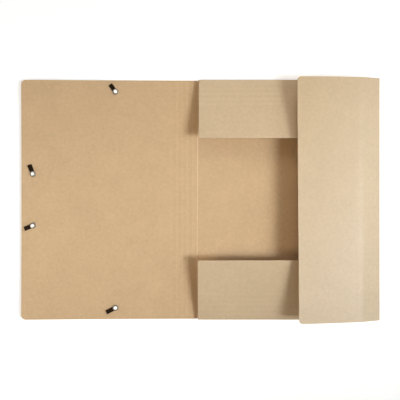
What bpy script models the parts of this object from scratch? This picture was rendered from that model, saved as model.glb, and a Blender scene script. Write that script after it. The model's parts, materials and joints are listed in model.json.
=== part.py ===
"""Three-flap folder in kraft card, lying open with its three flaps half folded in.

Metres, +Z up. The origin is the middle of the back cover's outside face, which lies flat. The front cover opens
towards -X, the side flap folds in from +X, and the end flaps fold in from +Y (top) and -Y (bottom).

Every crease turns about a line on the card's inside face. An empty stands on each crease with its X axis along
the card, away from the back cover, its Y axis along the crease and its Z axis out of the inside face.
"""

import math

import bpy
import bmesh
from mathutils import Matrix, Vector

# Card
CARD_THICKNESS = 0.0006
CREASE_GAP = 0.0004
FOLDER_HEIGHT = 0.320

# Back cover
BACK_WIDTH = 0.2295

# Score lines: low ridges on the inside face, evenly spaced between two creases at about this pitch
SCORE_PITCH = 0.00715
SCORE_RIDGE = 0.0002
SCORE_WIDTH = 0.0016

# Front cover and the scored spine that carries it
FRONT_WIDTH = 0.1995
FRONT_CORNER_RADIUS = 0.006
SPINE_WIDTH = 0.03575
SPINE_TILT = math.radians(0.75)
COVER_TILT = math.radians(0.75)

# Side flap: a leaning gusset, a scored shoulder, then the panel
SIDE_GUSSET = 0.0197
SIDE_SHOULDER = 0.029
SIDE_PANEL_LENGTH = 0.0849
SIDE_FIRST_TURN = math.radians(56)
SIDE_SECOND_TURN = math.radians(100)
SIDE_THIRD_TURN = math.radians(16)
SIDE_CORNER_RADIUS = 0.005
SIDE_END_INSET = 0.0002

# Top and bottom flaps: a standing gusset strip, then the panel
END_CREASE_INSET = 0.0003
END_GUSSET = 0.006
END_FIRST_TURN = math.radians(90)
END_SECOND_TURN = math.radians(76)
END_PANEL_LENGTH = 0.0820
END_CORNER_RADIUS = 0.002
TOP_SPINE_INSET = 0.0018
BOTTOM_SPINE_INSET = 0.0006
END_SIDE_INSET = 0.003
END_TAPER = math.radians(28)

# Rivets: each lies this far from the near edge, and this far along that edge from the cover's free corner
RIVET_EDGE_INSET = 0.0154
RIVET_CORNER_DISTANCE = 0.1255
CAP_RADIUS = 0.0039
CAP_RIM = 0.0004
CAP_DOME = 0.0015
POST_RADIUS = 0.001
POST_GRIP = 0.0009
FLANGE_RADIUS = 0.0035
FLANGE_THICKNESS = 0.0005

# Elastics
ELASTIC_WIDTH = 0.0050
ELASTIC_THICKNESS = 0.0008
GATHER_RADIUS = 0.0032
GATHER_RECESS = 0.00005
NECK_WALL = 0.0012
TOP_STUB = 0.0119
UPPER_STUB = 0.0129
LOWER_STUB = 0.0119
BOTTOM_STUB = 0.0134
TOP_STUB_ANGLE = math.radians(126)
UPPER_STUB_ANGLE = math.radians(110)
LOWER_STUB_ANGLE = math.radians(202)
BOTTOM_STUB_ANGLE = math.radians(207)

# Clearance between pieces that lie on each other, or pass through each other
CLEARANCE = 0.0003

ARC_STEPS = 6
HOLE_STEPS = 24
TURNED_STEPS = 24
DOME_STEPS = 6

# Heights above the front cover's inside face
STUB_BOTTOM = CLEARANCE
STUB_TOP = STUB_BOTTOM + ELASTIC_THICKNESS
CAP_BOTTOM = STUB_TOP + CLEARANCE
POST_TOP = CAP_BOTTOM + POST_GRIP
SOCKET_TOP = POST_TOP + CLEARANCE
RUN_TOP = -CARD_THICKNESS - CLEARANCE
RUN_BOTTOM = RUN_TOP - ELASTIC_THICKNESS
FLANGE_TOP = RUN_BOTTOM - CLEARANCE
FLANGE_BOTTOM = FLANGE_TOP - FLANGE_THICKNESS

BORE_RADIUS = POST_RADIUS + CLEARANCE
NECK_RADIUS = BORE_RADIUS + NECK_WALL
RIVET_HOLE_RADIUS = NECK_RADIUS + CLEARANCE

KRAFT = (0.62, 0.42, 0.235)
BLACK = (0.012, 0.012, 0.013)
NICKEL = (0.75, 0.74, 0.72)


def clear_scene():
    for obj in list(bpy.data.objects):
        bpy.data.objects.remove(obj)


def new_collection(name):
    collection = bpy.data.collections.new(name)
    bpy.context.scene.collection.children.link(collection)
    return collection


def new_material(name, colour, roughness, metallic=0.0):
    material = bpy.data.materials.new(name)
    material.use_nodes = True
    shader = material.node_tree.nodes["Principled BSDF"]
    shader.inputs["Base Color"].default_value = (*colour, 1)
    shader.inputs["Roughness"].default_value = roughness
    shader.inputs["Metallic"].default_value = metallic
    return material


def add_object(name, data, collection, parent, location=(0, 0, 0), turn=0.0):
    obj = bpy.data.objects.new(name, data)
    obj.parent = parent
    obj.location = location
    obj.rotation_euler.z = turn
    collection.objects.link(obj)
    return obj


def new_part(name, data, parent, material, location=(0, 0, 0), turn=0.0):
    data.materials.append(material)
    return add_object(name, data, PARTS, parent, location, turn)


def new_cutter(name, data, parent, location=(0, 0, 0), turn=0.0):
    cutter = add_object(name, data, CUTTERS, parent, location, turn)
    cutter.hide_render = True
    cutter.display_type = "WIRE"
    return cutter


def first_crease(name, location, heading, bend):
    """An empty on a crease at the back cover's edge. The card leaves the edge along heading, bent up by bend."""
    crease = add_object(name, None, PARTS, FOLDER, location)
    crease.rotation_euler = (0, -bend, heading)
    return crease


def next_crease(name, before, distance, bend):
    """An empty on the crease this far along the card from the one before."""
    crease = add_object(name, None, PARTS, before, (distance, 0, 0))
    crease.rotation_euler.y = -bend
    return crease


def rounded_corner(corner, before, after, radius):
    """Points of the arc that rounds a corner between its two neighbours."""
    to_before = (before - corner).normalized()
    to_after = (after - corner).normalized()
    half_angle = to_before.angle(to_after) / 2
    centre = corner + (to_before + to_after).normalized() * radius / math.sin(half_angle)
    start = corner + to_before * radius / math.tan(half_angle) - centre
    end = corner + to_after * radius / math.tan(half_angle) - centre
    sweep = start.angle_signed(end)
    return [centre + Matrix.Rotation(-sweep * i / ARC_STEPS, 2) @ start for i in range(ARC_STEPS + 1)]


def rounded_outline(corners):
    """Points of the polygon with these (x, y, radius) corners."""
    places = [Vector((x, y)) for x, y, _ in corners]
    points = []
    for i, (_, _, radius) in enumerate(corners):
        if radius:
            points += rounded_corner(places[i], places[i - 1], places[(i + 1) % len(places)], radius)
        else:
            points.append(places[i])
    return points


def circle_points(centre, radius):
    angles = [math.tau * i / HOLE_STEPS for i in range(HOLE_STEPS)]
    return [Vector(centre) + radius * Vector((math.cos(a), math.sin(a))) for a in angles]


def add_loop(curve, points):
    spline = curve.splines.new("POLY")
    spline.points.add(len(points) - 1)
    for place, point in zip(spline.points, points):
        place.co = (*point, 0, 1)
    spline.use_cyclic_u = True


def card_panel(name, parent, corners, holes=(), inside_height=0.0):
    """A flat panel of card. Its inside face is at inside_height in its parent's frame."""
    curve = bpy.data.curves.new(name, "CURVE")
    curve.dimensions = "2D"
    curve.fill_mode = "BOTH"
    curve.extrude = CARD_THICKNESS / 2
    add_loop(curve, rounded_outline(corners))
    for centre in holes:
        add_loop(curve, circle_points(centre, RIVET_HOLE_RADIUS))
    return new_part(name, curve, parent, KRAFT_CARD, (0, 0, inside_height - CARD_THICKNESS / 2))


def strip_corners(length, half_height, radius=0.0):
    """A panel from just past its crease to length, with its far corners rounded."""
    start = CREASE_GAP / 2
    return [
        (start, -half_height, 0),
        (length, -half_height, radius),
        (length, half_height, radius),
        (start, half_height, 0),
    ]


def turned_mesh(name, profile):
    """An object's mesh data: the (radius, height) profile, top to bottom, ready for a Screw modifier."""
    mesh = bpy.data.meshes.new(name)
    edges = [(i, i + 1) for i in range(len(profile) - 1)]
    mesh.from_pydata([(radius, 0, height) for radius, height in profile], edges, [])
    return mesh


def turn_profile(obj):
    screw = obj.modifiers.new("Turned", "SCREW")
    screw.steps = TURNED_STEPS
    screw.render_steps = TURNED_STEPS
    screw.use_merge_vertices = True
    screw.merge_threshold = 0.00001
    screw.use_smooth_shade = False
    return obj


def band_mesh(name, length, bottom, top):
    """A straight piece of flat elastic along +X from the origin."""
    mesh = bpy.data.meshes.new(name)
    shape = bmesh.new()
    size = Matrix.Diagonal((length, ELASTIC_WIDTH, top - bottom, 1))
    middle = Matrix.Translation((length / 2, 0, (top + bottom) / 2))
    bmesh.ops.create_cube(shape, size=1, matrix=middle @ size)
    shape.to_mesh(mesh)
    shape.free()
    return mesh


def add_boolean(obj, other, operation):
    modifier = obj.modifiers.new(other.name, "BOOLEAN")
    modifier.operation = operation
    modifier.object = other


def make_back_cover():
    half_width = (BACK_WIDTH - CREASE_GAP) / 2
    half_height = FOLDER_HEIGHT / 2 - END_CREASE_INSET - CREASE_GAP / 2
    corners = [
        (-half_width, -half_height, 0),
        (half_width, -half_height, 0),
        (half_width, half_height, 0),
        (-half_width, half_height, 0),
    ]
    card_panel("back_cover", FOLDER, corners, inside_height=CARD_THICKNESS)


def scored_mesh(name, length, half_height):
    """Mesh data of the strip between two creases that lie this length apart, with its score lines."""
    start = CREASE_GAP / 2
    end = length - CREASE_GAP / 2
    spaces = max(1, round(length / SCORE_PITCH))
    inside = [(start, 0)]
    for i in range(1, spaces):
        middle = length * i / spaces
        inside += [(middle - SCORE_WIDTH / 2, 0), (middle, SCORE_RIDGE), (middle + SCORE_WIDTH / 2, 0)]
    inside.append((end, 0))
    outside = [(x, z - CARD_THICKNESS) for x, z in reversed(inside)]
    mesh = bpy.data.meshes.new(name)
    shape = bmesh.new()
    section = shape.faces.new([shape.verts.new((x, -half_height, z)) for x, z in inside + outside])
    drawn = bmesh.ops.extrude_face_region(shape, geom=[section], use_keep_orig=True)
    moved = [item for item in drawn["geom"] if isinstance(item, bmesh.types.BMVert)]
    bmesh.ops.translate(shape, verts=moved, vec=(0, 2 * half_height, 0))
    bmesh.ops.recalc_face_normals(shape, faces=shape.faces)
    shape.to_mesh(mesh)
    shape.free()
    return mesh


def scored_strip(name, crease, length, half_height):
    new_part(name, scored_mesh(name, length, half_height), crease, KRAFT_CARD)


def make_front_cover(rivet_places):
    """The spine and the front cover. Returns the crease that carries the cover."""
    start = (-BACK_WIDTH / 2, 0, CARD_THICKNESS)
    half_height = FOLDER_HEIGHT / 2
    first = first_crease("spine_crease_1", start, math.pi, SPINE_TILT)
    scored_strip("spine_panel", first, SPINE_WIDTH, half_height)
    second = next_crease("spine_crease_2", first, SPINE_WIDTH, COVER_TILT)
    corners = strip_corners(FRONT_WIDTH, half_height, FRONT_CORNER_RADIUS)
    card_panel("front_cover", second, corners, holes=rivet_places.values())
    return second


def make_side_flap():
    start = (BACK_WIDTH / 2, 0, CARD_THICKNESS)
    half_height = FOLDER_HEIGHT / 2 - SIDE_END_INSET
    first = first_crease("side_crease_1", start, 0, SIDE_FIRST_TURN)
    scored_strip("side_gusset", first, SIDE_GUSSET, half_height)
    second = next_crease("side_crease_2", first, SIDE_GUSSET, SIDE_SECOND_TURN)
    scored_strip("side_shoulder", second, SIDE_SHOULDER, half_height)
    third = next_crease("side_crease_3", second, SIDE_SHOULDER, SIDE_THIRD_TURN)
    card_panel("side_flap", third, strip_corners(SIDE_PANEL_LENGTH, half_height, SIDE_CORNER_RADIUS))


def end_flap_corners(from_first, start, end, towards_x, spine_inset, radius=0.0):
    """Part of an end flap, in its crease's frame, which lies from_first along the card from the first crease.

    The end beside the spine is square, and the end under the side flap tapers so that it clears that flap.
    """
    spine_end = -BACK_WIDTH / 2 + spine_inset

    def side_end(distance):
        return BACK_WIDTH / 2 - END_SIDE_INSET - (from_first + distance) * math.tan(END_TAPER)

    return [
        (start, towards_x * spine_end, 0),
        (end, towards_x * spine_end, radius),
        (end, towards_x * side_end(end), radius),
        (start, towards_x * side_end(start), 0),
    ]


def make_end_flap(side, outwards, spine_inset):
    """The top flap (outwards is 1) or the bottom flap (outwards is -1)."""
    towards_x = -outwards
    start = (0, outwards * (FOLDER_HEIGHT / 2 - END_CREASE_INSET), CARD_THICKNESS)
    first = first_crease(f"{side}_crease_1", start, outwards * math.pi / 2, END_FIRST_TURN)
    gusset = end_flap_corners(0, CREASE_GAP / 2, END_GUSSET - CREASE_GAP / 2, towards_x, spine_inset)
    card_panel(f"{side}_gusset", first, gusset)
    second = next_crease(f"{side}_crease_2", first, END_GUSSET, END_SECOND_TURN)
    panel_start = CREASE_GAP / 2
    panel = end_flap_corners(END_GUSSET, panel_start, END_PANEL_LENGTH, towards_x, spine_inset, END_CORNER_RADIUS)
    card_panel(f"{side}_flap", second, panel)


def rivet_positions():
    """Rivet centres on the front cover, as (distance from its crease, distance along the crease)."""
    near_free_edge = FRONT_WIDTH - RIVET_EDGE_INSET
    along_free_edge = FOLDER_HEIGHT / 2 - RIVET_CORNER_DISTANCE
    near_end = FOLDER_HEIGHT / 2 - RIVET_EDGE_INSET
    along_end = FRONT_WIDTH - RIVET_CORNER_DISTANCE
    return {
        "top": (along_end, -near_end),
        "upper": (near_free_edge, -along_free_edge),
        "lower": (near_free_edge, along_free_edge),
        "bottom": (along_end, near_end),
    }


def cap_profile():
    """A low dome on a short rim, hollow underneath for the post."""
    angles = [math.pi / 2 * i / DOME_STEPS for i in range(DOME_STEPS + 1)]
    rim_top = CAP_BOTTOM + CAP_RIM
    dome = [(CAP_RADIUS * math.sin(a), rim_top + CAP_DOME * math.cos(a)) for a in angles]
    dome[0] = (0, rim_top + CAP_DOME)
    return dome + [(CAP_RADIUS, CAP_BOTTOM), (BORE_RADIUS, CAP_BOTTOM), (BORE_RADIUS, SOCKET_TOP), (0, SOCKET_TOP)]


def post_profile():
    """A post that stands on the flange outside the cover and reaches into the cap."""
    return [
        (0, POST_TOP),
        (POST_RADIUS, POST_TOP),
        (POST_RADIUS, FLANGE_TOP),
        (FLANGE_RADIUS, FLANGE_TOP),
        (FLANGE_RADIUS, FLANGE_BOTTOM),
        (0, FLANGE_BOTTOM),
    ]


def gather_profile():
    """The elastic gathered round the post: pressed wide on both faces of the cover, drawn in through its hole."""
    return [
        (0, STUB_TOP - GATHER_RECESS),
        (GATHER_RADIUS, STUB_TOP - GATHER_RECESS),
        (GATHER_RADIUS, STUB_BOTTOM + GATHER_RECESS),
        (NECK_RADIUS, STUB_BOTTOM + GATHER_RECESS),
        (NECK_RADIUS, RUN_TOP - GATHER_RECESS),
        (GATHER_RADIUS, RUN_TOP - GATHER_RECESS),
        (GATHER_RADIUS, RUN_BOTTOM + GATHER_RECESS),
        (0, RUN_BOTTOM + GATHER_RECESS),
    ]


def bore_profile():
    """The hole that the post makes through the elastic, longer than the elastic is thick."""
    top = STUB_TOP + CLEARANCE
    bottom = RUN_BOTTOM - CLEARANCE
    return [(0, top), (BORE_RADIUS, top), (BORE_RADIUS, bottom), (0, bottom)]


def make_rivet(name, cover, place):
    location = (*place, 0)
    cap = turned_mesh(f"rivet_cap_{name}", cap_profile())
    turn_profile(new_part(cap.name, cap, cover, POLISHED_NICKEL, location))
    post = turned_mesh(f"rivet_post_{name}", post_profile())
    turn_profile(new_part(post.name, post, cover, POLISHED_NICKEL, location))


def make_elastic(name, cover, ends):
    """A flat elastic outside the cover between two rivets. ends are (rivet place, stub length, stub angle)."""
    first, last = Vector(ends[0][0]), Vector(ends[1][0])
    along = last - first
    direction = math.atan2(along.y, along.x)
    run = band_mesh(name, along.length, RUN_BOTTOM, RUN_TOP)
    elastic = new_part(name, run, cover, BLACK_ELASTIC, (*first, 0), direction)
    for i, (place, stub_length, stub_angle) in enumerate(ends):
        location = (*place, 0)
        gather = turned_mesh(f"{name}_gather_{i}", gather_profile())
        add_boolean(elastic, turn_profile(new_cutter(gather.name, gather, cover, location)), "UNION")
        stub = band_mesh(f"{name}_stub_{i}", stub_length, STUB_BOTTOM, STUB_TOP)
        add_boolean(elastic, new_cutter(stub.name, stub, cover, location, stub_angle), "UNION")
    for i, (place, _, _) in enumerate(ends):
        bore = turned_mesh(f"{name}_bore_{i}", bore_profile())
        add_boolean(elastic, turn_profile(new_cutter(bore.name, bore, cover, (*place, 0))), "DIFFERENCE")


clear_scene()
PARTS = new_collection("three_flap_folder")
CUTTERS = new_collection("cutters")
KRAFT_CARD = new_material("kraft_card", KRAFT, 0.6)
BLACK_ELASTIC = new_material("black_elastic", BLACK, 0.85)
POLISHED_NICKEL = new_material("polished_nickel", NICKEL, 0.2, 1.0)
FOLDER = bpy.data.objects.new("folder", None)
PARTS.objects.link(FOLDER)

make_back_cover()
make_side_flap()
make_end_flap("top", 1, TOP_SPINE_INSET)
make_end_flap("bottom", -1, BOTTOM_SPINE_INSET)

RIVETS = rivet_positions()
COVER = make_front_cover(RIVETS)
for rivet_name, rivet_place in RIVETS.items():
    make_rivet(rivet_name, COVER, rivet_place)

# The cover's crease frame is turned half round from the folder's, and so are the stubs' angles
make_elastic("upper_elastic", COVER, [
    (RIVETS["top"], TOP_STUB, TOP_STUB_ANGLE + math.pi),
    (RIVETS["upper"], UPPER_STUB, UPPER_STUB_ANGLE + math.pi),
])
make_elastic("lower_elastic", COVER, [
    (RIVETS["lower"], LOWER_STUB, LOWER_STUB_ANGLE + math.pi),
    (RIVETS["bottom"], BOTTOM_STUB, BOTTOM_STUB_ANGLE + math.pi),
])
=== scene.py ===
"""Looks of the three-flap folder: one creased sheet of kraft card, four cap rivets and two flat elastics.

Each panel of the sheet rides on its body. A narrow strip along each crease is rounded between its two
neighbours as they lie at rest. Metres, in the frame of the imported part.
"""

import json
import math
from typing import NamedTuple

import bpy
import bmesh
import numpy as np
from mathutils import Matrix, Vector


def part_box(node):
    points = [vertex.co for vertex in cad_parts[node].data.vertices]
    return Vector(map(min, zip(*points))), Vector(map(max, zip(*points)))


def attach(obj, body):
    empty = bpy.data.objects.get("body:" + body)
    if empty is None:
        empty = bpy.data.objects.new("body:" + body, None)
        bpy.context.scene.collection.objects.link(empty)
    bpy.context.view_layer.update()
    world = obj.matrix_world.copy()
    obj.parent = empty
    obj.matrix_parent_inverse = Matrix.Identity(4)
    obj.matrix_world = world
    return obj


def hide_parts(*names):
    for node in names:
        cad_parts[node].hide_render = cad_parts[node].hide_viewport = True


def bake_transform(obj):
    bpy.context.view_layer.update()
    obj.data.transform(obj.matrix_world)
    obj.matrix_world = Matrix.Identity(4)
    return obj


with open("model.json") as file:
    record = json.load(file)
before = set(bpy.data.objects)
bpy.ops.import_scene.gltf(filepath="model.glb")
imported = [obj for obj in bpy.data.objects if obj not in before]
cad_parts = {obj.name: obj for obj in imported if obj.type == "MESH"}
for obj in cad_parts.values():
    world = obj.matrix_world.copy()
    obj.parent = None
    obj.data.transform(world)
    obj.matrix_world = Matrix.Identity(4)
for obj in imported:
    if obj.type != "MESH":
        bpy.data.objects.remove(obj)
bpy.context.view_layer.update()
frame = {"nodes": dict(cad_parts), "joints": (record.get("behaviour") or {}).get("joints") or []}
JOINTS = {joint["name"]: joint for joint in frame["joints"]}


def half_span(node):
    """Half of a node's size along Y."""
    low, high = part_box(node)
    return (high.y - low.y) / 2


def thickness(node):
    """The height of a node that lies flat."""
    low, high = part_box(node)
    return high.z - low.z


UP = Vector((0, 0, 1))
WHITE = (1, 1, 1, 1)

# Card, and the grids of points that its faces are made of
CARD_THICKNESS = thickness("back_cover")
HALF_HEIGHT = half_span("front_cover")
GRID_STEP = 0.005
GRID_CLEARANCE = 0.0012
ARC_STEPS = 8
BEND_STEPS = 12
SHARP_ANGLE = math.radians(38)

# Score lines: (half width, height of the ridge), and where a ridge has points, as shares of its half width
SCORE_PITCH = 0.00715
SPINE_SCORE = (0.0018, 0.00014)
SHOULDER_SCORE = (0.0014, 0.00006)
FLAP_SCORE = (0.0030, 0.00012)
SCORE_SHAPE = (-1, -0.66, -0.33, 0, 0.33, 0.66, 1)
CREASE_RIDGE = 0.00022
CREASE_RIDGE_HALF_WIDTH = 0.0010

# How pale score lines and creases are painted, for pressed fibres and a painted highlight: 0 is not at all, 1
# is fully
SPINE_SCORE_PALENESS = (0.08, 0.20, 0.09, 0.09)
SHOULDER_SCORE_PALENESS = 0.06
FLAP_SCORE_PALENESS = 0.08
BACK_CREASE_PALENESS = 0.95
COVER_CREASE_PALENESS = 0.20
END_FOLD_PALENESS = 0.20

# Half widths of the crease strips
SPINE_CREASE = 0.0020
SIDE_FIRST_CREASE = 0.0010
SIDE_SECOND_CREASE = 0.0008
SIDE_THIRD_CREASE = 0.0050
END_FIRST_CREASE = 0.0012
END_SECOND_CREASE = 0.0008

# Rounded corners of the free edges
FRONT_CORNER = 0.006
SIDE_CORNER = 0.005
END_CORNER = 0.002

# End flaps: their score lines, how far their free edges reach past the CAD panels, and the slope of the ends
# that lie under the side flap
END_FLAP_SCORES = 5
END_FIRST_SCORE = {"top": 0.0066, "bottom": 0.0068}
END_TRIM = {"top": -0.0004, "bottom": 0.0009}
END_TAPER = math.tan(math.radians(28))

# How the side flap lies, which is folded a little askew
SIDE_SHIFT = 0.0006  # along its crease
SIDE_SKEW = -0.0115  # slope of its two ends
SIDE_SLANT = 0.0030  # slope of its free edge
SIDE_TRIM = 0.0008  # taken off its free edge
SIDE_FLARE = 0.0009  # added to the top end of its free edge
SIDE_CURL = 0.006  # downwards, at that end

# How the rest of the card lies: the front cover's free corners lift, and the line along the back cover's
# crease runs a little askew
CORNER_LIFT = 0.0025
CORNER_LIFT_POWER = 3
BACK_CREASE_SHIFT = 0.0003
BACK_CREASE_SKEW = 0.0052

# Unevenness of the flaps: its height, its waves (radians to a metre along and across, phase), and the share
# of the flap on which it fades out towards the crease
CARD_WAVE = 0.00025
CARD_WAVES = ((31, 17, 0.0), (-11, 23, 1.3))
CARD_WAVE_FADE = 0.3

# Kraft paper: tangled fibres that lie in several directions
FIBRE_TURNS = (0.0, 0.7, 1.5, 2.3)
FIBRE_LENGTH = 0.0030
FIBRE_WIDTH = 0.00028
FIBRE_CURL = 0.7
DARK_FIBRE_TINT = (1.0, 1.1, 1.25)

# Kraft paper: patches of uneven tone, coarse to fine: ((scale, detail, roughness), share of the contrast)
TONE_PATCHES = (
    ((30.0, 4.0, 0.6), 0.35),
    ((230.0, 1.0, 0.5), 0.34),
    ((900.0, 3.0, 0.7), 0.25),
)
NOISE_RANGE = (0.3, 0.7)

# Kraft paper: stray fibres: (spacing, length, width), how much they cover, and their tone
DARK_FLECKS = (0.0036, 0.0012, 0.00020)
DARK_FLECK_COVER = 0.50
DARK_FLECK_TONE = (0.5, 0.42, 0.34)
PALE_FLECKS = (0.0035, 0.0014, 0.00014)
PALE_FLECK_COVER = 0.40
PALE_FLECK_TONE = (1.3, 1.3, 1.3)
FLECK_CORE = 0.4

# Kraft paper: its surface
# Pale lines on score lines and creases: pressed fibres and a painted highlight
PALE_LINE_TONE = (1.28, 1.36, 1.48)
KRAFT_ROUGHNESS_SPREAD = 0.05
KRAFT_BUMP_HEIGHT = 0.0001

# Nickel: smudges and scratches are noise, as (scale, detail)
NICKEL_SMUDGES = (700.0, 3.0)
NICKEL_SCRATCHES = (5000.0, 2.0)
NICKEL_SMUDGED = (0.86, 0.84, 0.79, 1)
NICKEL_CLEAN = (0.97, 0.95, 0.90, 1)
# Painted shade: the caps' flank and rim are painted dark, standing in for their shade and dark reflection
NICKEL_PAINTED_SHADE = (0.19, 0.165, 0.14, 1)
NICKEL_ROUGHNESS = (0.14, 0.26)
NICKEL_FLANK_ROUGHNESS = 0.15
NICKEL_BUMP = 0.05
NICKEL_BUMP_HEIGHT = 0.00002

# Weave of the elastics: radians to a metre, along and across
WEAVE_ALONG = 7500.0
WEAVE_ACROSS = 9500.0
WEAVE_DARK = (0.010, 0.005, 0.002, 1)
WEAVE_LIGHT = (0.026, 0.014, 0.006, 1)
WEAVE_BUMP = 0.6
WEAVE_BUMP_HEIGHT = 0.0001

# Rivets: heights are above the front cover's inside face
RIVET_NAMES = ("top", "upper", "lower", "bottom")
RIVET_HOLE_RADIUS = 0.0028
PUNCH_REACH = 0.004
TURNED_STEPS = 64
CAP_RADIUS = half_span("rivet_cap_top")
CAP_TOP = 0.0033
CAP_BOTTOM = 0.0014
CAP_ROLL = 0.0002
CAP_KNEE = 0.00035
CAP_KNEE_START = math.radians(15)
CAP_KNEE_END = math.radians(60)
CAP_FLANK_FOOT = 2.4 * CAP_ROLL
CAP_BORE_RADIUS = 0.0013
CAP_BORE_DEPTH = 0.0006
CROWN_RADIUS = 0.58 * CAP_RADIUS
CROWN_DROP = 0.00022
CROWN_STEPS = 8
KNEE_STEPS = 6
FLANK_STEPS = 4
ROLL_STEPS = 6
POST_RADIUS = 0.001
POST_TOP = 0.0019
POST_BOTTOM = -0.0025
FLANGE_RADIUS = half_span("rivet_post_top")
FLANGE_THICKNESS = 0.0005
FLANGE_BEVEL = 0.0002
DIMPLE_RADIUS = 0.0018
DIMPLE_FLOOR_RADIUS = 0.0012
DIMPLE_DEPTH = 0.0002

# Elastics: heights are above the front cover's inside face
ELASTICS = {"upper_elastic": ("top", "upper"), "lower_elastic": ("lower", "bottom")}
BAND_WIDTH = 0.0058
BAND_THICKNESS = 0.0008
BAND_RIBS = 7
BAND_RIB_STEPS = 6
BAND_RIB_DEPTH = 0.00010
BAND_EDGE_POWER = 12
BAND_EDGE_SHARE = 0.15
BAND_OVERLAP = 0.0022
RUN_HEIGHT = -0.0013
RUN_STEP = 0.004
STUB_HEIGHT = 0.0007
STUB_LIFT = 0.0011
STUB_STEP = 0.0006
NECK_RADIUS = 0.0025
NECK_END_RADIUS = 0.0024
NECK_TOP = 0.0009
NECK_UPPER_SHOULDER = 0.0003
NECK_LOWER_SHOULDER = -0.0009
NECK_BOTTOM = -0.0014

# Stubs of the elastics: (length, heading in degrees from +X)
STUBS = {
    "top": (0.0119, 126),
    "upper": (0.0129, 110),
    "lower": (0.0119, 202),
    "bottom": (0.0134, 207),
}

# Camera, straight above the open folder: millimetres for its lens and its sensor
CAMERA_PLACE = (-0.11135, -0.0004, 1.0006)
CAMERA_LENS = 67.0
CAMERA_SENSOR = 36.0
CAMERA_NEAR = 0.01


class Light(NamedTuple):
    """An area light that stands in a direction, at a distance from the place on the floor that it aims at.

    Its size is a length and a width, its power is in watts, and its spread and its turn are in degrees.
    """

    towards: tuple
    aim: tuple
    distance: float
    size: tuple
    power: float
    spread: float
    tint: tuple
    turn: float = 0.0


# Lights, the world and the floor
KEY_AIM = (-0.12, -0.015)
ACCENT_AIM = (0.03, 0.15)
FILL_AIM = (-0.11, -0.018)
LIGHTS = {
    "key": Light((0.59, -0.16, 0.81), KEY_AIM, 1.6, (1.7, 0.44), 2.25, 30, (0.88, 0.95, 1.0), turn=6.5),
    "low_left": Light((-0.60, -0.35, 0.72), FILL_AIM, 1.6, (0.5, 0.5), 0.82, 60, (1.0, 0.81, 0.60)),
    "top_accent": Light((0.0, -0.05, 1.0), ACCENT_AIM, 1.2, (0.3, 0.15), 0.024, 22, (1.0, 0.85, 0.60)),
    "right_fill": Light((0.85, 0.0, 0.52), FILL_AIM, 2.2, (1.0, 1.2), 7.1, 180, (0.93, 0.98, 1.0)),
    "top_fill": Light((-0.05, 0.75, 0.66), FILL_AIM, 2.0, (1.4, 0.9), 11.0, 180, (1.0, 0.93, 0.83)),
}
WORLD_STRENGTH = 0.02
WORLD_SEEN_STRENGTH = 1.0
WORLD_TINT = (1.0, 0.84, 0.80, 1)
FLOOR_HEIGHT = -0.0002
FLOOR_SIZE = 8.0
FLOOR_COLOUR = (0.72, 0.72, 0.72, 1)
FLOOR_ROUGHNESS = 0.9
FLOOR_GLOW = 0.55


def crease_place(joint):
    return Vector(JOINTS[joint]["pos_m"])


class Crease:
    """A crease at rest: its place, and the directions of the card after it."""

    def __init__(self, joint, along, across):
        self.joint = joint
        self.place = crease_place(joint)
        self.along = along.normalized()
        self.across = across
        self.normal = self.along.cross(across)

    def bent(self, joint, bend):
        """The next crease along the card, where the card bends towards its inside face."""
        return Crease(joint, Matrix.Rotation(-bend, 3, self.across) @ self.along, self.across)


def opening_angle(joint):
    """A flap's crease opens until the card is flat, so its upper limit is its bend at rest."""
    return math.radians(JOINTS[joint]["range_deg"][1])


def reach(node, crease):
    """How far a node reaches from its crease, along the card."""
    vertices = frame["nodes"][node].data.vertices
    return max((vertex.co - crease.place).dot(crease.along) for vertex in vertices)


def evenly(start, end, step):
    return np.linspace(start, end, max(1, math.ceil((end - start) / step)) + 1)


class Scores:
    """Score lines across a panel: their places, their ridges, and how pale each is painted (pressed fibres,
    painted highlight).
    """

    def __init__(self, places, style, pale_shares):
        self.places = places
        self.half_width, self.ridge = style
        self.pale_shares = pale_shares

    def summed(self, u, values):
        """Values that each line has on its middle, fading out to its sides."""
        total = np.zeros_like(u)
        for place, value in zip(self.places, values):
            share = np.clip(np.abs(u - place) / self.half_width, 0, 1)
            total += value * (0.5 + 0.5 * np.cos(math.pi * share))
        return total

    def height(self, u):
        return self.summed(u, [self.ridge] * len(self.places))

    def paleness(self, u):
        return self.summed(u, self.pale_shares)


NO_SCORES = Scores((), (0.0, 0.0), ())


def even_places(total):
    """Places of score lines that divide a panel evenly, at about their usual pitch."""
    spaces = round(total / SCORE_PITCH)
    return [total * i / spaces for i in range(1, spaces)]


def grid_lines(start, end, scores=NO_SCORES, corner=0.0):
    """Places of the grid's rows: even, and closer together on score lines and round corners."""
    fine = [start, end]
    for place in scores.places:
        fine += [place + scores.half_width * share for share in SCORE_SHAPE]
    if corner:
        fine += [end - corner + corner * math.sin(math.pi / 2 * i / ARC_STEPS) for i in range(ARC_STEPS)]
    even = evenly(start, end, GRID_STEP)
    coarse = [u for u in even if min(abs(u - f) for f in fine) > GRID_CLEARANCE]
    return np.array(sorted(fine + coarse))


def corner_cut(u, end, radius):
    """How much a rounded corner at the free edge takes off the card's half height."""
    past = np.clip(u - (end - radius), 0, radius)
    return radius - np.sqrt(np.maximum(radius ** 2 - past ** 2, 0))


def gentle_wave(u, v, length):
    """A slight unevenness of the card, which fades out at its crease."""
    fade = np.clip(u / (CARD_WAVE_FADE * length), 0, 1) ** 2
    waves = sum(np.sin(along * u + across * v + phase) for along, across, phase in CARD_WAVES)
    return CARD_WAVE * fade * waves


def level(u, v):
    """The relief of a flat panel."""
    return np.zeros_like(u)


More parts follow.
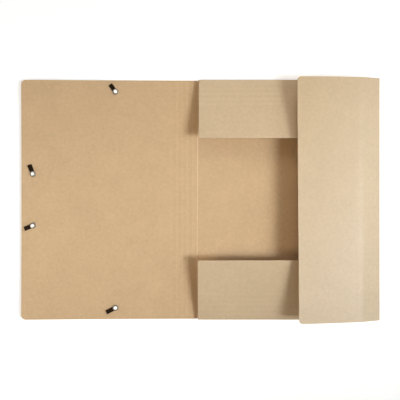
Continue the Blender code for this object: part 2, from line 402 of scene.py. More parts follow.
def grid_faces(rows, columns, start, flip):
    """Quads of one face of a sheet, whose points are numbered from start."""
    index = start + np.arange(rows * columns).reshape(rows, columns)
    corners = (index[:-1, :-1], index[1:, :-1], index[1:, 1:], index[:-1, 1:])
    quads = np.stack(corners, axis=-1).reshape(-1, 4)
    return quads[:, ::-1] if flip else quads


def rim_faces(rows, columns):
    """Quads that close a sheet between its two faces."""
    index = np.arange(rows * columns).reshape(rows, columns)
    loop = np.concatenate([index[:, 0], index[-1, 1:], index[-2::-1, -1], index[0, -2:0:-1]])
    after = np.roll(loop, -1)
    below = rows * columns
    return np.stack([loop, loop + below, after + below, after], axis=-1)


def add_object(name, data):
    obj = bpy.data.objects.new(name, data)
    bpy.context.scene.collection.objects.link(obj)
    return obj


def smooth(mesh):
    """Smooth shading, with an edge wherever the faces turn sharply."""
    mesh.shade_smooth()
    mesh.set_sharp_from_angle(angle=SHARP_ANGLE)


def card_object(name, inside, outside, paleness):
    """A closed sheet between two grids of points: rows run along the card, columns along the crease.

    Its last argument says how pale each point of the grid is painted, from 0 to 1: pressed fibres and a
    painted highlight.
    """
    rows, columns = inside.shape[:2]
    points = np.concatenate([inside.reshape(-1, 3), outside.reshape(-1, 3)])
    upper = grid_faces(rows, columns, 0, False)
    lower = grid_faces(rows, columns, rows * columns, True)
    rim = rim_faces(rows, columns)
    mesh = bpy.data.meshes.new(name)
    mesh.from_pydata(points.tolist(), [], np.concatenate([upper, lower, rim]).tolist())
    slots = np.repeat([0, 1, 2], [len(upper), len(lower), len(rim)]).astype(np.int32)
    for material in (KRAFT_INSIDE, KRAFT_OUTSIDE, KRAFT_EDGE):
        mesh.materials.append(material)
    mesh.polygons.foreach_set("material_index", slots)
    wear_and_highlight = mesh.attributes.new("wear_and_highlight", "FLOAT", "POINT")
    wear_and_highlight.data.foreach_set("value", np.tile(paleness.ravel(), 2).astype(np.float32))
    smooth(mesh)
    obj = add_object(name, mesh)
    return obj


def as_points(vector):
    return np.array(vector)[None, None, :]


def panel_points(crease, u, v, height):
    """Points of a panel's inside face and outside face, from their places in its crease's frame."""
    inside = (
        np.array(crease.place)
        + u[..., None] * as_points(crease.along)
        + v[..., None] * as_points(crease.across)
        + height[..., None] * as_points(crease.normal)
    )
    return inside, inside - CARD_THICKNESS * as_points(crease.normal)


def make_panel(name, crease, rows, limits, relief, shift=None, scores=NO_SCORES):
    """One panel of card.

    limits gives the ends of each row, relief the height of each point over the panel's plane, and shift moves
    the points within that plane.
    """
    low, high = limits(rows)
    columns = len(evenly(low.min(), high.max(), GRID_STEP))
    share = np.linspace(0, 1, columns)[None, :]
    v = low[:, None] + (high - low)[:, None] * share
    u = np.repeat(rows[:, None], columns, axis=1)
    height = relief(u, v)
    paleness = scores.paleness(u)
    if shift:
        u, v = shift(u, v)
    return card_object(name, *panel_points(crease, u, v, height), paleness)


def ridge_swell(distance, half_width):
    """The shape of a crease's ridge at this distance from its middle, from 1 down to 0."""
    share = min(1.0, abs(distance) / min(half_width, CREASE_RIDGE_HALF_WIDTH))
    return math.cos(math.pi / 2 * share) ** 2


def make_crease(name, before, after, half_width, limits_before, limits_after, paleness=0.0, ridge=0.0,
                shift=(0.0, 0.0), ridge_place=lambda v: 0.0):
    """The strip along a crease, rounded to meet the panels on both sides, as far as the card turns there at
    rest.

    A spine crease also stands up as a ridge on the inside face, at ridge_place from the strip's middle.
    """
    bend = before.along.angle(after.along)
    radius = half_width / math.tan(bend / 2)
    start = after.place - half_width * before.along
    centre = start + radius * before.normal
    columns = len(evenly(limits_before[0], limits_before[1], GRID_STEP))
    inside = []
    outside = []
    wear_and_highlight = []
    for i in range(BEND_STEPS + 1):
        share = i / BEND_STEPS
        out = math.sin(bend * share) * before.along - math.cos(bend * share) * before.normal
        moved = shift[0] + (shift[1] - shift[0]) * share
        low = limits_before[0] + (limits_after[0] - limits_before[0]) * share + moved
        high = limits_before[1] + (limits_after[1] - limits_before[1]) * share + moved
        across = np.linspace(low, high, columns).tolist()
        from_middle = half_width * (2 * share - 1)
        swells = [ridge_swell(from_middle - ridge_place(v), half_width) for v in across]
        row = [
            centre + (radius - ridge * swell) * out + v * after.across
            for v, swell in zip(across, swells)
        ]
        inside.append(row)
        outside.append([point + CARD_THICKNESS * out for point in row])
        wear_and_highlight.append([paleness * swell for swell in swells])
    strip = card_object(name, np.array(inside), np.array(outside), np.array(wear_and_highlight))
    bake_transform(strip)
    return strip


def same_limits(low, high):
    """Limits of a panel whose ends are square."""
    return lambda u: (np.full_like(u, low), np.full_like(u, high))


def add_node(tree, kind, inputs=None, **settings):
    """A node, with its inputs set to values or linked to other nodes' outputs."""
    node = tree.nodes.new(kind)
    for name, value in settings.items():
        setattr(node, name, value)
    for name, value in (inputs or {}).items():
        if isinstance(value, bpy.types.NodeSocket):
            tree.links.new(value, node.inputs[name])
        else:
            node.inputs[name].default_value = value
    return node


def new_material(name, **values):
    """A material, its node tree and its shader, on which the values that are the same all over are set."""
    material = bpy.data.materials.new(name)
    material.use_nodes = True
    tree = material.node_tree
    shader = tree.nodes["Principled BSDF"]
    for socket, value in values.items():
        shader.inputs[socket.replace("_", " ")].default_value = value
    return material, tree, shader


def object_place(tree):
    """Where a point lies on its object, in metres."""
    return add_node(tree, "ShaderNodeTexCoord").outputs["Object"]


def attribute(tree, name):
    return add_node(tree, "ShaderNodeAttribute", attribute_name=name).outputs


def noise(tree, place, scale, detail, roughness=0.5):
    texture = add_node(tree, "ShaderNodeTexNoise", {
        "Vector": place, "Scale": scale, "Detail": detail, "Roughness": roughness,
    })
    return texture.outputs["Fac"]


def ranged(tree, value, low, high, to_low, to_high):
    return add_node(tree, "ShaderNodeMapRange", {
        "Value": value, "From Min": low, "From Max": high, "To Min": to_low, "To Max": to_high,
    }).outputs["Result"]


def maths(tree, operation, first, second=0.0):
    node = add_node(tree, "ShaderNodeMath", {0: first, 1: second}, operation=operation)
    return node.outputs["Value"]


def squared(tree, value):
    return maths(tree, "MULTIPLY", value, value)


def mixed(tree, factor, first, second, blend_type="MIX"):
    """Two colours mixed. The node has sockets for each kind of data, so those for colours go by number."""
    inputs = {0: factor, 6: first, 7: second}
    node = add_node(tree, "ShaderNodeMix", inputs, data_type="RGBA", blend_type=blend_type)
    return node.outputs[2]


def vectors(tree, operation, first, second=(0, 0, 0)):
    return add_node(tree, "ShaderNodeVectorMath", {0: first, 1: second}, operation=operation).outputs


def bump(tree, shader, height, strength, distance):
    node = add_node(tree, "ShaderNodeBump", {"Height": height, "Strength": strength, "Distance": distance})
    tree.links.new(node.outputs["Normal"], shader.inputs["Normal"])


def toned(colour, factors):
    """A colour with each channel times its factor, no brighter than white."""
    return (*[min(1.0, channel * factor) for channel, factor in zip(colour, factors)], 1)


def fibres(tree, place, turn):
    """Noise drawn out into curled fibres, turned in the sheet's plane."""
    mapping = add_node(tree, "ShaderNodeMapping", {
        "Vector": place, "Rotation": (0, 0, turn), "Scale": (FIBRE_WIDTH, FIBRE_LENGTH, FIBRE_WIDTH),
    }, vector_type="TEXTURE")
    texture = add_node(tree, "ShaderNodeTexNoise", {
        "Vector": mapping.outputs["Vector"],
        "Scale": 1.0,
        "Detail": 2.0,
        "Roughness": 0.6,
        "Distortion": FIBRE_CURL,
    })
    return texture.outputs["Fac"]


def flecks(tree, place, spacing, length, width):
    """Stray fibres, each lying its own way in its cell of the pattern: 1 on a fibre and 0 off it."""
    cells = add_node(tree, "ShaderNodeTexVoronoi", {
        "Vector": place, "Scale": 1 / spacing, "Randomness": 1.0,
    }).outputs
    away = vectors(tree, "SUBTRACT", place, cells["Position"])["Vector"]
    any_way = vectors(tree, "SUBTRACT", cells["Color"], (0.5, 0.5, 0.5))["Vector"]
    heading = vectors(tree, "NORMALIZE", any_way)["Vector"]
    along = vectors(tree, "DOT_PRODUCT", away, heading)["Value"]
    lengthwise = vectors(tree, "SCALE", heading)["Vector"]
    tree.links.new(along, lengthwise.node.inputs["Scale"])
    sideways = vectors(tree, "SUBTRACT", away, lengthwise)["Vector"]
    beside = vectors(tree, "LENGTH", sideways)["Value"]
    past_end = squared(tree, maths(tree, "DIVIDE", along, length))
    past_side = squared(tree, maths(tree, "DIVIDE", beside, width))
    return ranged(tree, maths(tree, "ADD", past_end, past_side), FLECK_CORE, 1.0, 1.0, 0.0)


def kraft_material(name, colour, roughness, specular, contrast, bump_strength):
    """Kraft paper: tangled fibres, uneven tone, stray fibres, and pale score lines and creases: wear and
    painted highlight.
    """
    material, tree, shader = new_material(name, Specular_IOR_Level=specular)
    place = object_place(tree)
    grain = 0.0
    for turn in FIBRE_TURNS:
        grain = maths(tree, "ADD", fibres(tree, place, turn), grain)
    middle = 0.5 * len(FIBRE_TURNS)
    grain = ranged(tree, grain, middle - 0.5, middle + 0.5, 0.0, 1.0)
    light = toned(colour, [1 + contrast] * 3)
    dark = toned(colour, [1 - contrast * tint for tint in DARK_FIBRE_TINT])
    tone = mixed(tree, grain, dark, light)

    patches = [noise(tree, place, *pattern) for pattern, _ in TONE_PATCHES]
    shade = 1.0
    for patch, (_, share) in zip(patches, TONE_PATCHES):
        uneven = share * contrast
        shade = maths(tree, "MULTIPLY", ranged(tree, patch, *NOISE_RANGE, 1 - uneven, 1 + uneven), shade)
    grey = add_node(tree, "ShaderNodeCombineColor", {"Red": shade, "Green": shade, "Blue": shade})
    tone = mixed(tree, 1.0, tone, grey.outputs["Color"], "MULTIPLY")

    dark_fleck = maths(tree, "MULTIPLY", flecks(tree, place, *DARK_FLECKS), DARK_FLECK_COVER)
    tone = mixed(tree, dark_fleck, tone, toned(colour, DARK_FLECK_TONE))
    pale_fleck = maths(tree, "MULTIPLY", flecks(tree, place, *PALE_FLECKS), PALE_FLECK_COVER)
    tone = mixed(tree, pale_fleck, tone, toned(colour, PALE_FLECK_TONE))
    # Paler along score lines and creases: pressed fibres, and a painted highlight on their ridges
    tone = mixed(tree, attribute(tree, "wear_and_highlight")["Fac"], tone, toned(colour, PALE_LINE_TONE))
    tree.links.new(tone, shader.inputs["Base Color"])

    smoothest = roughness - KRAFT_ROUGHNESS_SPREAD
    roughest = roughness + KRAFT_ROUGHNESS_SPREAD
    tree.links.new(ranged(tree, grain, 0, 1, smoothest, roughest), shader.inputs["Roughness"])
    bump(tree, shader, maths(tree, "ADD", grain, patches[-1]), bump_strength, KRAFT_BUMP_HEIGHT)
    return material


def nickel_material():
    """Polished nickel, smudged and finely scratched, with a painted shade and more roughness on the flank and
    rim.
    """
    material, tree, shader = new_material("nickel", Metallic=1.0)
    place = object_place(tree)
    smudge = noise(tree, place, *NICKEL_SMUDGES)
    shaded_flank = attribute(tree, "shaded_flank")["Fac"]
    tone = mixed(tree, smudge, NICKEL_SMUDGED, NICKEL_CLEAN)
    # The flank and rim get the painted shade
    tone = mixed(tree, shaded_flank, tone, NICKEL_PAINTED_SHADE)
    tree.links.new(tone, shader.inputs["Base Color"])
    gloss = ranged(tree, smudge, *NOISE_RANGE, *NICKEL_ROUGHNESS)
    roughness = maths(tree, "ADD", gloss, maths(tree, "MULTIPLY", shaded_flank, NICKEL_FLANK_ROUGHNESS))
    tree.links.new(roughness, shader.inputs["Roughness"])
    bump(tree, shader, noise(tree, place, *NICKEL_SCRATCHES), NICKEL_BUMP, NICKEL_BUMP_HEIGHT)
    return material


def elastic_material():
    """Black covered elastic: ribs along the band, crossed by fine picks of the weave."""
    material, tree, shader = new_material("black_elastic", Roughness=0.85, Specular_IOR_Level=0.08)
    split = add_node(tree, "ShaderNodeSeparateXYZ", {"Vector": attribute(tree, "band")["Vector"]})
    along = maths(tree, "SINE", maths(tree, "MULTIPLY", split.outputs["X"], WEAVE_ALONG))
    across = maths(tree, "SINE", maths(tree, "MULTIPLY", split.outputs["Y"], WEAVE_ACROSS))
    weave = ranged(tree, maths(tree, "MULTIPLY", along, across), -1, 1, 0, 1)
    tone = mixed(tree, weave, WEAVE_DARK, WEAVE_LIGHT)
    tree.links.new(tone, shader.inputs["Base Color"])
    bump(tree, shader, weave, WEAVE_BUMP, WEAVE_BUMP_HEIGHT)
    return material


def make_back_cover():
    """The back cover, flat between the spine and the three flaps. Returns its half height."""
    spine = Crease("spine_crease_1", Vector((1, 0, 0)), Vector((0, 1, 0)))
    width = crease_place("side_crease_1").x - spine.place.x
    half = crease_place("top_crease_1").y - END_FIRST_CREASE
    rows = grid_lines(SPINE_CREASE, width - SIDE_FIRST_CREASE)
    cover = make_panel("back_cover_card", spine, rows, same_limits(-half, half), level)
    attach(cover, "back")
    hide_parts("back_cover")
    return half


def make_front_cover(back_half):
    """The scored spine and the front cover. Returns the cover's crease and its panel."""
    flat = Crease("spine_crease_1", Vector((-1, 0, 0)), Vector((0, -1, 0)))
    first_place = crease_place("spine_crease_1")
    second_place = crease_place("spine_crease_2")
    spine = Crease("spine_crease_1", second_place - first_place, flat.across)
    low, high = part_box("front_cover")
    slope = Vector((low.x - second_place.x, 0, high.z - second_place.z))
    cover = Crease("spine_crease_2", slope, flat.across)
    width = (second_place - first_place).length
    scores = Scores(even_places(width), SPINE_SCORE, SPINE_SCORE_PALENESS)
    ends = (-HALF_HEIGHT, HALF_HEIGHT)

    def spine_relief(u, v):
        return scores.height(u)

    rows = grid_lines(SPINE_CREASE, width - SPINE_CREASE, scores)
    strip = make_panel("spine_card", spine, rows, same_limits(*ends), spine_relief, None, scores)
    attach(strip, "spine")
    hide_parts("spine_panel")

    def line_place(v):
        return BACK_CREASE_SHIFT + BACK_CREASE_SKEW * v

    make_crease("spine_crease_1_card", flat, spine, SPINE_CREASE, (-back_half, back_half), ends,
                BACK_CREASE_PALENESS, CREASE_RIDGE, ridge_place=line_place)
    make_crease("spine_crease_2_card", spine, cover, SPINE_CREASE, ends, ends,
                COVER_CREASE_PALENESS, SPINE_SCORE[1])

    length = reach("front_cover", cover)

    def limits(u):
        cut = corner_cut(u, length, FRONT_CORNER)
        return cut - HALF_HEIGHT, HALF_HEIGHT - cut

    def relief(u, v):
        return CORNER_LIFT * (u / length * np.abs(v / HALF_HEIGHT)) ** CORNER_LIFT_POWER

    rows = grid_lines(SPINE_CREASE, length, corner=FRONT_CORNER)
    panel = make_panel("front_cover_card", cover, rows, limits, relief)
    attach(panel, "cover")
    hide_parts("front_cover")
    return cover, panel


def make_side_flap():
    """The leaning gusset, the scored shoulder and the panel of the side flap."""
    flat = Crease("side_crease_1", Vector((1, 0, 0)), Vector((0, 1, 0)))
    gusset = flat.bent("side_crease_1", opening_angle("side_crease_1"))
    shoulder = gusset.bent("side_crease_2", opening_angle("side_crease_2"))
    flap = shoulder.bent("side_crease_3", opening_angle("side_crease_3"))
    gusset_length = (shoulder.place - gusset.place).length
    shoulder_length = (flap.place - shoulder.place).length
    length = reach("side_flap", flap)
    ends = (-HALF_HEIGHT, HALF_HEIGHT)

    def gusset_shift(u):
        """The gusset leads over from the square back cover to the flap, which lies askew."""
        span = gusset_length - SIDE_FIRST_CREASE - SIDE_SECOND_CREASE
        return SIDE_SHIFT * (u - SIDE_FIRST_CREASE) / span

    def flap_shift(distance):
        """How far the flap has moved along its crease, at this distance from the second crease."""
        return SIDE_SHIFT + SIDE_SKEW * (distance - SIDE_SECOND_CREASE)

    def scored_panel(name, crease, start, end, total, shift):
        """A panel between two creases, with score lines and square ends."""
        places = even_places(total)
        scores = Scores(places, SHOULDER_SCORE, [SHOULDER_SCORE_PALENESS] * len(places))
        return make_panel(name, crease, grid_lines(start, end, scores), same_limits(*ends),
                          lambda u, v: scores.height(u), lambda u, v: (u, v + shift(u)), scores)

    piece = scored_panel("side_gusset_card", gusset, SIDE_FIRST_CREASE,
                         gusset_length - SIDE_SECOND_CREASE, gusset_length, gusset_shift)
    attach(piece, "side_1")
    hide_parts("side_gusset")
    piece = scored_panel("side_shoulder_card", shoulder, SIDE_SECOND_CREASE,
                         shoulder_length - SIDE_THIRD_CREASE, shoulder_length, flap_shift)
    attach(piece, "side_2")
    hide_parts("side_shoulder")

    def limits(u):
        cut = corner_cut(u, length, SIDE_CORNER)
        flare = SIDE_FLARE * (u - SIDE_THIRD_CREASE) / length
        return cut - HALF_HEIGHT, HALF_HEIGHT + flare - cut

    def panel_shift(u, v):
        past = u - SIDE_THIRD_CREASE
        return u + (SIDE_SLANT * v - SIDE_TRIM) * past / length, v + flap_shift(shoulder_length + u)

    def relief(u, v):
        past = u - SIDE_THIRD_CREASE
        to_top = 0.5 + v / (2 * HALF_HEIGHT)
        return gentle_wave(past, v, length) + SIDE_CURL * to_top * (past / length) ** 2

    rows = grid_lines(SIDE_THIRD_CREASE, length, corner=SIDE_CORNER)
    piece = make_panel("side_flap_card", flap, rows, limits, relief, panel_shift)
    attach(piece, "side")
    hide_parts("side_flap")
    make_crease("side_crease_1_card", flat, gusset, SIDE_FIRST_CREASE, ends, ends)
    make_crease("side_crease_2_card", gusset, shoulder, SIDE_SECOND_CREASE, ends, ends,
                shift=(SIDE_SHIFT, SIDE_SHIFT))
    third_shift = [flap_shift(shoulder_length + side * SIDE_THIRD_CREASE) for side in (-1, 1)]
    make_crease("side_crease_3_card", shoulder, flap, SIDE_THIRD_CREASE, ends, ends, shift=third_shift)


def make_end_flap(side, outwards):
    """The gusset and the panel of the top flap (outwards is 1) or the bottom flap (outwards is -1)."""
    heading = Vector((0, outwards, 0))
    flat = Crease(f"{side}_crease_1", heading, UP.cross(heading))
    gusset = flat.bent(f"{side}_crease_1", opening_angle(f"{side}_crease_1"))
    flap = gusset.bent(f"{side}_crease_2", opening_angle(f"{side}_crease_2"))
    gusset_length = (flap.place - gusset.place).length
    length = reach(f"{side}_flap", flap) + END_TRIM[side]
    places = [END_FIRST_SCORE[side] + SCORE_PITCH * i for i in range(END_FLAP_SCORES)]
    scores = Scores(places, FLAP_SCORE, [FLAP_SCORE_PALENESS] * END_FLAP_SCORES)
    gusset_low, gusset_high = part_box(f"{side}_gusset")
    back_low, back_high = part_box("back_cover")

    def limits_at(distance):
        """The flap's two ends at this distance from its first crease, as places along the crease."""
        along = (gusset_low.x, gusset_high.x - distance * END_TAPER)
        return sorted(x * flat.across.x for x in along)

    def limits(from_first):
        def of(u):
            pairs = np.array([limits_at(from_first + float(x)) for x in u])
            return pairs[:, 0], pairs[:, 1]
        return of

    def rounded(u):
        low, high = limits(gusset_length)(u)
        cut = corner_cut(u, length, END_CORNER)
        return low + cut, high - cut

    def relief(u, v):
        return gentle_wave(u, v, length) - scores.height(u)

    rows = grid_lines(END_FIRST_CREASE, gusset_length - END_SECOND_CREASE)
    piece = make_panel(f"{side}_gusset_card", gusset, rows, limits(0), level)
    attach(piece, f"{side}_1")
    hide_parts(f"{side}_gusset")

    rows = grid_lines(END_SECOND_CREASE, length, scores, END_CORNER)
    piece = make_panel(f"{side}_flap_card", flap, rows, rounded, relief, None, scores)
    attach(piece, side)
    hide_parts(f"{side}_flap")

    back_ends = sorted(x * flat.across.x for x in (back_low.x, back_high.x))
    make_crease(f"{side}_crease_1_card", flat, gusset, END_FIRST_CREASE,
                back_ends, limits_at(END_FIRST_CREASE))
    make_crease(f"{side}_crease_2_card", gusset, flap, END_SECOND_CREASE,
                limits_at(gusset_length - END_SECOND_CREASE), limits_at(gusset_length + END_SECOND_CREASE),
                END_FOLD_PALENESS)


def turned_object(name, place, crease, profile, material, shaded_beyond=math.inf):
    """A piece turned about the card's normal at a place: (radius, height) points, top to bottom.

    Outside a given radius its points are marked for a painted shade: a darker, rougher flank and rim.
    """
    angles = np.linspace(0, math.tau, TURNED_STEPS, endpoint=False)
    around = [math.cos(angle) * crease.along + math.sin(angle) * crease.across for angle in angles]
    mesh = bpy.data.meshes.new(name)
    shape = bmesh.new()
    rings = []
    flank_shading = []
    for radius, height in profile:
        middle = place + crease.normal * height
        spokes = around if radius else [Vector((0, 0, 0))]
        rings.append([shape.verts.new(middle + radius * spoke) for spoke in spokes])
        # Points outside the crown are marked for the painted shade on the flank and rim
        flank_shading += [float(radius > shaded_beyond)] * len(spokes)
    for upper, lower in zip(rings, rings[1:]):
        for i in range(TURNED_STEPS):
            j = (i + 1) % TURNED_STEPS
            corners = [(upper, i), (lower, i), (lower, j), (upper, j)]
            shape.faces.new(list(dict.fromkeys(ring[k % len(ring)] for ring, k in corners)))
    bmesh.ops.recalc_face_normals(shape, faces=shape.faces)
    shape.to_mesh(mesh)
    shape.free()
    mesh.materials.append(material)
    shaded_flank = mesh.attributes.new("shaded_flank", "FLOAT", "POINT")
    shaded_flank.data.foreach_set("value", flank_shading)
    smooth(mesh)
    return add_object(name, mesh)


def shares(count):
    """Even shares of 1, from the first step to the whole."""
    return [i / count for i in range(1, count + 1)]


def cap_profile():
    """A cap with a slightly domed crown, a knee, a steep flank, a rolled rim and a bore for its post."""
    profile = [(0, CAP_TOP)]
    for share in shares(CROWN_STEPS):
        profile.append((CROWN_RADIUS * share, CAP_TOP - CROWN_DROP * share ** 2))
    for share in shares(KNEE_STEPS):
        angle = CAP_KNEE_START + (CAP_KNEE_END - CAP_KNEE_START) * share
        drop = CROWN_DROP + CAP_KNEE * (1 - math.cos(angle))
        profile.append((CROWN_RADIUS + CAP_KNEE * math.sin(angle), CAP_TOP - drop))
    start = Vector(profile[-1])
    foot = Vector((CAP_RADIUS - CAP_ROLL, CAP_BOTTOM + CAP_FLANK_FOOT))
    profile += [tuple(start.lerp(foot, share)) for share in shares(FLANK_STEPS)]
    for i in range(ROLL_STEPS + 1):
        angle = math.pi / 2 - math.pi * i / ROLL_STEPS
        radius = CAP_RADIUS - CAP_ROLL + CAP_ROLL * math.cos(angle)
        profile.append((radius, CAP_BOTTOM + CAP_ROLL + CAP_ROLL * math.sin(angle)))
    bore_top = CAP_BOTTOM + CAP_BORE_DEPTH
    return profile + [(CAP_BORE_RADIUS, CAP_BOTTOM), (CAP_BORE_RADIUS, bore_top), (0, bore_top)]


def post_profile():
    """The post and its flange, with a bevelled edge and a dimple in the flange."""
    flange_top = POST_BOTTOM + FLANGE_THICKNESS
    dimple_floor = POST_BOTTOM + DIMPLE_DEPTH
    return [
        (0, POST_TOP),
        (POST_RADIUS, POST_TOP),
        (POST_RADIUS, flange_top),
        (FLANGE_RADIUS - FLANGE_BEVEL, flange_top),
        (FLANGE_RADIUS, flange_top - FLANGE_BEVEL),
        (FLANGE_RADIUS, POST_BOTTOM + FLANGE_BEVEL),
        (FLANGE_RADIUS - FLANGE_BEVEL, POST_BOTTOM),
        (DIMPLE_RADIUS, POST_BOTTOM),
        (DIMPLE_FLOOR_RADIUS, dimple_floor),
        (0, dimple_floor),
    ]


def neck_profile():
    """The elastic where it is gathered in a rivet hole, between its run and its stub."""
    return [
        (0, NECK_TOP),
        (NECK_END_RADIUS, NECK_TOP),
        (NECK_RADIUS, NECK_UPPER_SHOULDER),
        (NECK_RADIUS, NECK_LOWER_SHOULDER),
        (NECK_END_RADIUS, NECK_BOTTOM),
        (0, NECK_BOTTOM),
    ]


def rivet_places(cover):
    """Rivet centres on the front cover's inside face."""
    places = {}
    for name in RIVET_NAMES:
        low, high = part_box(f"rivet_post_{name}")
        middle = (low + high) / 2
        places[name] = middle - cover.normal * (middle - cover.place).dot(cover.normal)
    return places


def make_rivets(cover, places):
    for name, place in places.items():
        cap = turned_object(f"{name}_rivet_cap", place, cover, cap_profile(), NICKEL, CROWN_RADIUS)
        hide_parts(f"rivet_cap_{name}")
        post = turned_object(f"{name}_rivet_post", place, cover, post_profile(), NICKEL)
        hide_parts(f"rivet_post_{name}")
        for piece in (cap, post):
            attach(piece, "cover")


def cut_rivet_holes(panel, cover, places):
    """Punches the holes that the rivets go through."""
    profile = [
        (0, PUNCH_REACH),
        (RIVET_HOLE_RADIUS, PUNCH_REACH),
        (RIVET_HOLE_RADIUS, -PUNCH_REACH),
        (0, -PUNCH_REACH),
    ]
    for name, place in places.items():
        punch = turned_object(f"{name}_punch", place, cover, profile, KRAFT_EDGE)
        cut = panel.modifiers.new(f"{name}_hole", "BOOLEAN")
        cut.operation = "DIFFERENCE"
        cut.object = punch
        bpy.context.view_layer.update()
        evaluated = panel.evaluated_get(bpy.context.evaluated_depsgraph_get())
        mesh = bpy.data.meshes.new_from_object(evaluated)
        panel.modifiers.clear()
        panel.data = mesh
        bpy.data.objects.remove(punch)


def band_section():
    """The rounded section of a ribbed elastic: (across, height) points round its edge, counterclockwise."""
    across = np.linspace(-1, 1, BAND_RIBS * BAND_RIB_STEPS + 1)
    half = BAND_THICKNESS / 2
    ribs = BAND_RIB_DEPTH * 0.5 * (np.cos(math.pi * BAND_RIBS * across) - 1)
    edge = half * np.sqrt(np.clip(1 - np.abs(across) ** BAND_EDGE_POWER, 0, 1))
    top = np.maximum(edge + ribs, BAND_EDGE_SHARE * half)
    upper = [(BAND_WIDTH / 2 * a, h) for a, h in zip(across, top)]
    lower = [(BAND_WIDTH / 2 * a, -h) for a, h in zip(across[::-1], top[::-1])]
    return [(float(a), float(h)) for a, h in lower + upper]


def make_band(name, origin, direction, normal, path):
    """A closed ribbed band along a path of (distance, height, lean) from its origin.

    Its length, width and height are written on its points, for the weave.
    """
    section = band_section()
    count = len(section)
    side = normal.cross(direction)
    points = []
    values = []
    for distance, height, lean in path:
        middle = origin + distance * direction + height * normal
        up = (normal - lean * direction).normalized()
        points += [middle + a * side + h * up for a, h in section]
        values += [(distance, a, h) for a, h in section]
    faces = []
    for i in range(len(path) - 1):
        for j in range(count):
            k = (j + 1) % count
            faces.append((i * count + j, i * count + k, (i + 1) * count + k, (i + 1) * count + j))
    faces.append(tuple(range(count))[::-1])
    faces.append(tuple(range(len(points) - count, len(points))))
    mesh = bpy.data.meshes.new(name)
    mesh.from_pydata(points, [], faces)
    shape = bmesh.new()
    shape.from_mesh(mesh)
    bmesh.ops.recalc_face_normals(shape, faces=shape.faces)
    shape.to_mesh(mesh)
    shape.free()
    band = mesh.attributes.new("band", "FLOAT_VECTOR", "POINT")
    band.data.foreach_set("vector", np.array(values, np.float32).ravel())
    mesh.materials.append(ELASTIC)
    smooth(mesh)
    obj = add_object(name, mesh)
    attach(obj, "cover")
    return obj


def make_stub(name, cover, place):
    """The loose end of an elastic, held under a cap and lifting a little towards its cut end."""
    length, angle = STUBS[name]
    flat_x = Vector((1, 0, 0)) - cover.normal * cover.normal.x
    direction = Matrix.Rotation(math.radians(angle), 3, cover.normal) @ flat_x.normalized()
    path = []
    for distance in evenly(-BAND_OVERLAP, length, STUB_STEP).tolist():
        share = max(0.0, distance / length)
        path.append((distance, STUB_HEIGHT + STUB_LIFT * share ** 2, 2 * STUB_LIFT * share / length))
    return make_band(f"{name}_elastic_stub", place, direction, cover.normal, path)


def make_run(name, cover, first, last):
    """The stretch of an elastic outside the cover, between two rivets."""
    along = last - first
    distances = evenly(-BAND_OVERLAP, along.length + BAND_OVERLAP, RUN_STEP).tolist()
    path = [(distance, RUN_HEIGHT, 0.0) for distance in distances]
    return make_band(f"{name}_run", first, along.normalized(), cover.normal, path)


def make_elastics(cover, places):
    for name, ends in ELASTICS.items():
        run = make_run(name, cover, places[ends[0]], places[ends[1]])
        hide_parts(name)
        for end in ends:
            make_stub(end, cover, places[end])
            neck = turned_object(f"{end}_elastic_neck", places[end], cover, neck_profile(), ELASTIC)
            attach(neck, "cover")


def seen_rays(tree):
    """1 for rays from the camera, and for those that a reflection or a clear material passes on."""
    path = add_node(tree, "ShaderNodeLightPath").outputs
    seen = maths(tree, "MAXIMUM", path["Is Camera Ray"], path["Is Glossy Ray"])
    return maths(tree, "MAXIMUM", seen, path["Is Transmission Ray"])


def make_floor():
    """A white floor. It glows a little to the camera and in reflections, so that it stays white."""
    mesh = bpy.data.meshes.new("floor")
    half = FLOOR_SIZE / 2
    corners = [(-half, -half), (half, -half), (half, half), (-half, half)]
    mesh.from_pydata([(x, y, FLOOR_HEIGHT) for x, y in corners], [], [(0, 1, 2, 3)])
    material, tree, shader = new_material(
        "floor_white",
        Base_Color=FLOOR_COLOUR,
        Roughness=FLOOR_ROUGHNESS,
        Specular_IOR_Level=0.0,
        Emission_Color=WHITE,
    )
    glow = maths(tree, "MULTIPLY", seen_rays(tree), FLOOR_GLOW)
    tree.links.new(glow, shader.inputs["Emission Strength"])
    mesh.materials.append(material)
    floor = add_object("floor", mesh)


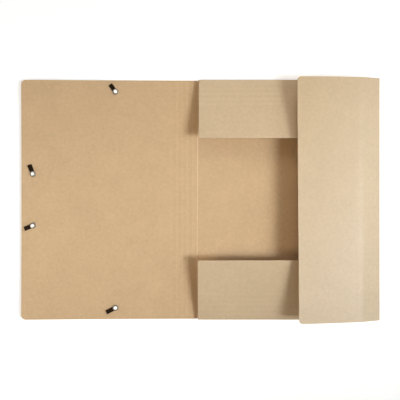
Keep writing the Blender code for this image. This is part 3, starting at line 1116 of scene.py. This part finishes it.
def make_world():
    """Weak even light from all round, seen as white."""
    world = bpy.data.worlds.new("studio")
    world.use_nodes = True
    tree = world.node_tree
    seen = seen_rays(tree)
    strength = ranged(tree, seen, 0, 1, WORLD_STRENGTH, WORLD_SEEN_STRENGTH)
    tree.links.new(strength, tree.nodes["Background"].inputs["Strength"])
    tint = mixed(tree, seen, WORLD_TINT, WHITE)
    tree.links.new(tint, tree.nodes["Background"].inputs["Color"])
    bpy.context.scene.world = world


def make_lights():
    """A strip light on the side flap's side, a low lamp on the left, an accent on the top flap, two fills."""
    for name, light in LIGHTS.items():
        data = bpy.data.lights.new(name, "AREA")
        data.shape = "RECTANGLE"
        data.size, data.size_y = light.size
        data.energy = light.power
        data.spread = math.radians(light.spread)
        data.color = light.tint
        lamp = add_object(name, data)
        direction = Vector(light.towards).normalized()
        turn = math.radians(light.turn)
        level_side = Vector((math.cos(turn), math.sin(turn), 0))
        along = (level_side - direction * direction.dot(level_side)).normalized()
        lamp.location = Vector((*light.aim, 0)) + direction * light.distance
        lamp.rotation_euler = Matrix((along, direction.cross(along), direction)).transposed().to_euler()


def make_camera():
    data = bpy.data.cameras.new("camera")
    data.lens = CAMERA_LENS
    data.sensor_width = CAMERA_SENSOR
    data.clip_start = CAMERA_NEAR
    camera = add_object("camera", data)
    camera.location = CAMERA_PLACE
    bpy.context.scene.camera = camera


KRAFT_INSIDE = kraft_material(
    "kraft_inside", (0.639, 0.445, 0.259), roughness=0.80, specular=0.25, contrast=0.10, bump_strength=0.30)
KRAFT_OUTSIDE = kraft_material(
    "kraft_outside", (0.583, 0.434, 0.268), roughness=0.47, specular=0.62, contrast=0.09, bump_strength=0.15)
KRAFT_EDGE = kraft_material(
    "kraft_edge", (0.66, 0.48, 0.30), roughness=0.85, specular=0.20, contrast=0.12, bump_strength=0.40)
NICKEL = nickel_material()
ELASTIC = elastic_material()

BACK_HALF = make_back_cover()
COVER, COVER_PANEL = make_front_cover(BACK_HALF)
make_side_flap()
make_end_flap("top", 1)
make_end_flap("bottom", -1)
RIVETS = rivet_places(COVER)
cut_rivet_holes(COVER_PANEL, COVER, RIVETS)
make_rivets(COVER, RIVETS)
make_elastics(COVER, RIVETS)

make_floor()
make_world()
make_lights()
make_camera()
bpy.context.scene.view_settings.view_transform = "Standard"
